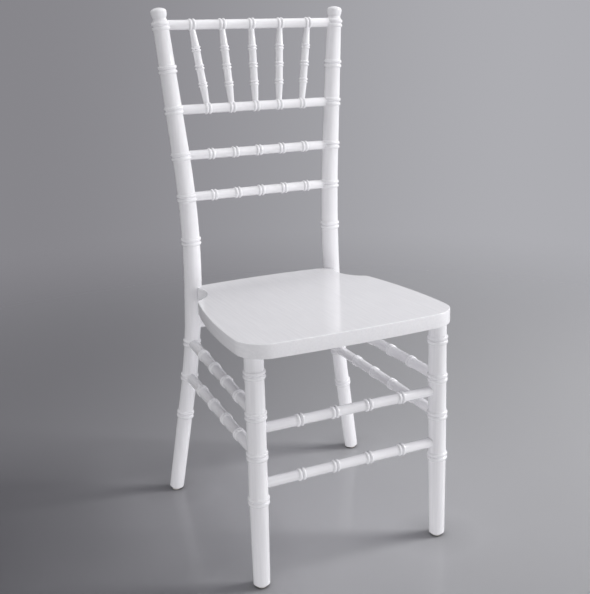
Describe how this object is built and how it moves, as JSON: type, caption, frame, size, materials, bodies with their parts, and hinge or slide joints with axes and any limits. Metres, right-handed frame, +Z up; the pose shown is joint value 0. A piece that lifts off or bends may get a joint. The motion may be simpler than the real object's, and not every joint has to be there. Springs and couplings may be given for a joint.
{
  "type": "chiavari chair",
  "caption": "Dining chair with turned legs and posts beaded like bamboo, a ladder back topped by a row of spindles, and a shaped slab seat.",
  "frame": {"origin": "on the floor, at the middle of the chair's overall width and depth", "axes": "+Z up; -Y is the front of the chair, where the sitter faces; +X is to the right as the chair is seen from its front"},
  "size_m": [0.4176, 0.4414, 0.9146],
  "materials": {
    "lacquered_wood": "white lacquer, semi-gloss",
    "zinc_plated_steel": "zinc plated",
    "nylon": "moulded, matte"
  },
  "bodies": {
    "root": {"rear_post_left": "lacquered_wood", "rear_post_right": "lacquered_wood", "front_leg_left": "lacquered_wood", "front_leg_right": "lacquered_wood", "crest_rail": "lacquered_wood", "spindle_rail": "lacquered_wood", "back_rail_upper": "lacquered_wood", "back_rail_lower": "lacquered_wood", "spindle_1": "lacquered_wood", "spindle_2": "lacquered_wood", "spindle_3": "lacquered_wood", "spindle_4": "lacquered_wood", "spindle_5": "lacquered_wood", "front_stretcher_upper": "lacquered_wood", "front_stretcher_lower": "lacquered_wood", "side_stretcher_left_upper": "lacquered_wood", "side_stretcher_left_lower": "lacquered_wood", "side_stretcher_right_upper": "lacquered_wood", "side_stretcher_right_lower": "lacquered_wood", "rear_stretcher": "lacquered_wood", "seat_panel": "lacquered_wood", "post_bolt_left": "zinc_plated_steel", "post_bolt_right": "zinc_plated_steel", "barrel_nut_left": "zinc_plated_steel", "barrel_nut_right": "zinc_plated_steel", "foot_glide_front_left": "nylon", "foot_glide_front_right": "nylon", "foot_glide_rear_left": "nylon", "foot_glide_rear_right": "nylon"}
  },
  "joints": []
}
